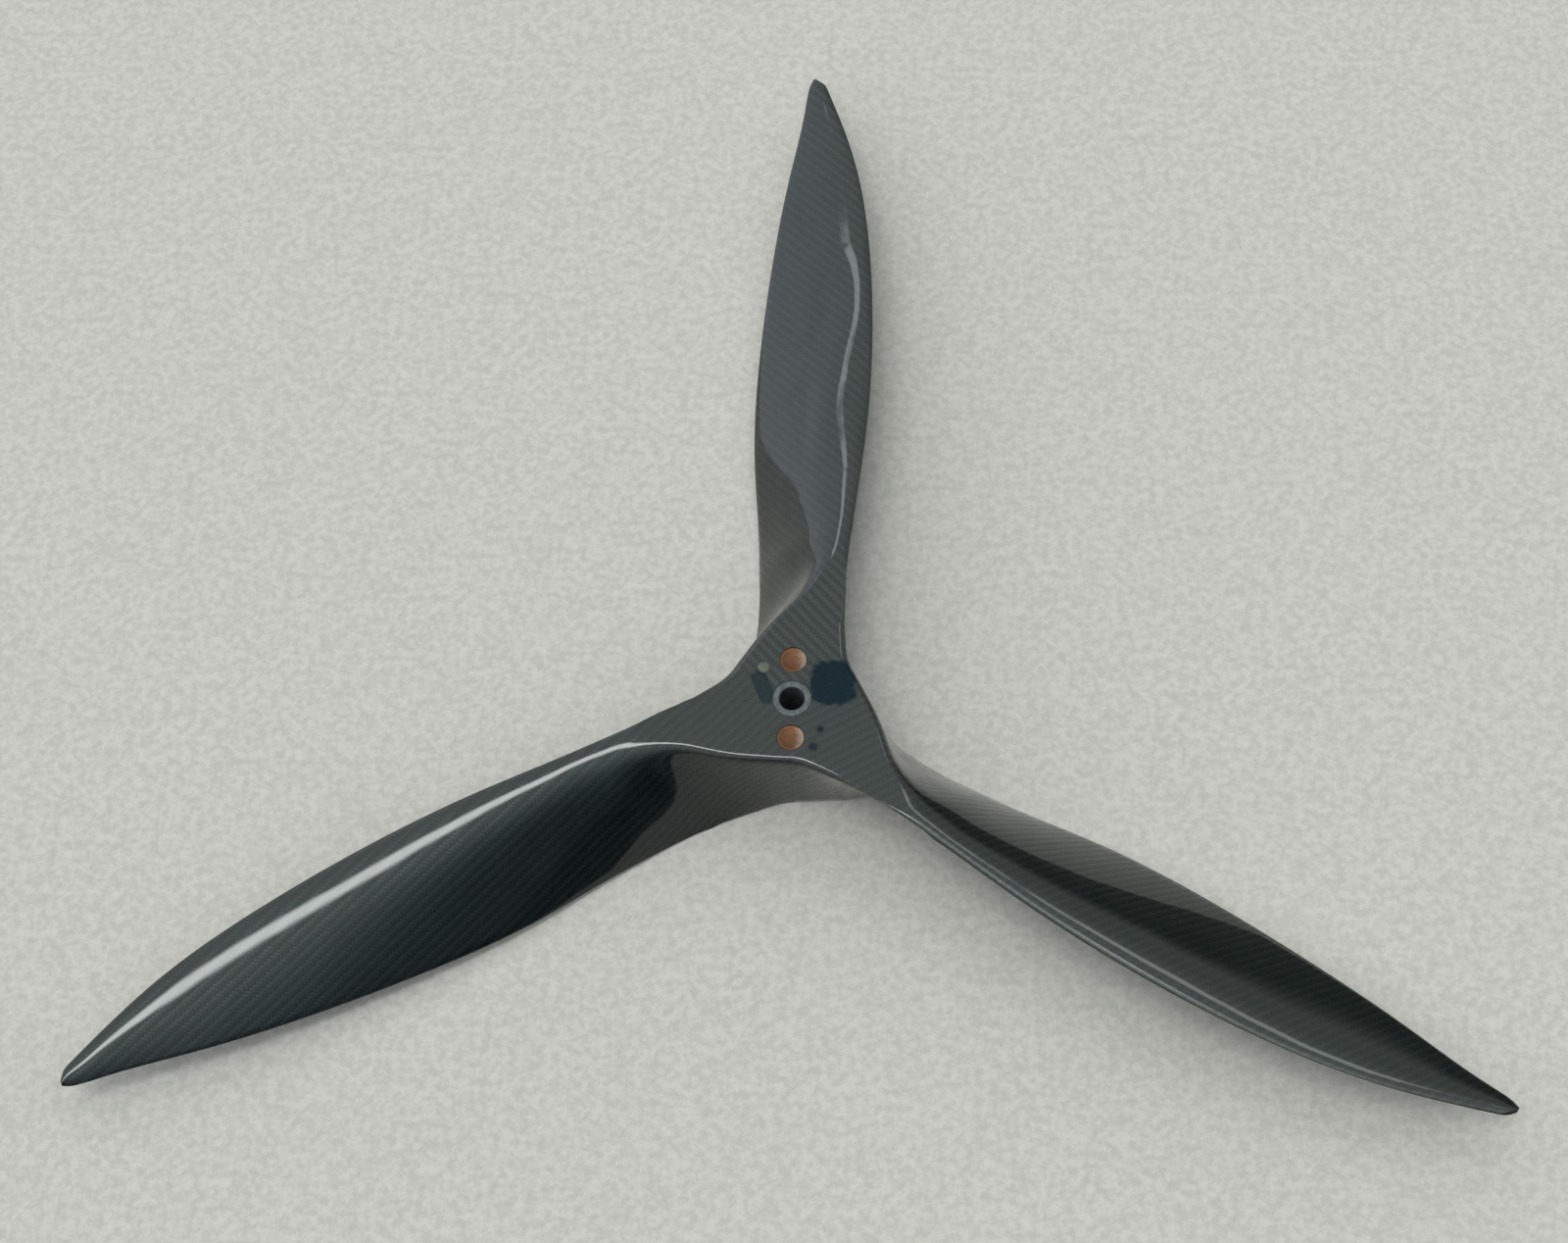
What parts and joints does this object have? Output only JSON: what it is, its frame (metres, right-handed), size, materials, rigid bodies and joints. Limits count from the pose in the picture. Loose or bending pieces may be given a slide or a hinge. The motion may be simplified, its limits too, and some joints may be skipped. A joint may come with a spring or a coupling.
{
  "type": "propeller",
  "caption": "Fixed-pitch moulded carbon-cloth propeller with a flat triangular hub, a sleeved centre bore and pointed twisted blades.",
  "frame": {"origin": "on the shaft axis, midway between the front and back hub faces", "axes": "+Z along the shaft axis towards the front (convex) side, +Y along the first blade, +X completes the right-handed set"},
  "size_m": [0.4409, 0.3826, 0.0321],
  "materials": {
    "front_cloth": "clear-coated carbon twill",
    "back_cloth": "satin carbon twill",
    "roving": "unidirectional carbon roving in resin",
    "edge_tow": "carbon tow in resin",
    "foam": "rigid foam",
    "hub_filler": "chopped carbon fibre in resin",
    "bush_metal": "turned, satin",
    "plug_copper": "copper coloured, satin"
  },
  "bodies": {
    "root": {"front_skin_1": "front_cloth", "front_skin_2": "front_cloth", "front_skin_3": "front_cloth", "back_skin_1": "back_cloth", "back_skin_2": "back_cloth", "back_skin_3": "back_cloth", "leading_tow_1": "edge_tow", "leading_tow_2": "edge_tow", "leading_tow_3": "edge_tow", "leading_core_1": "foam", "leading_core_2": "foam", "leading_core_3": "foam", "spar_1": "roving", "spar_2": "roving", "spar_3": "roving", "trailing_core_1": "foam", "trailing_core_2": "foam", "trailing_core_3": "foam", "hub_core": "hub_filler", "hub_bush": "bush_metal", "drive_pin_plug_1": "plug_copper", "drive_pin_plug_2": "plug_copper"}
  },
  "joints": []
}
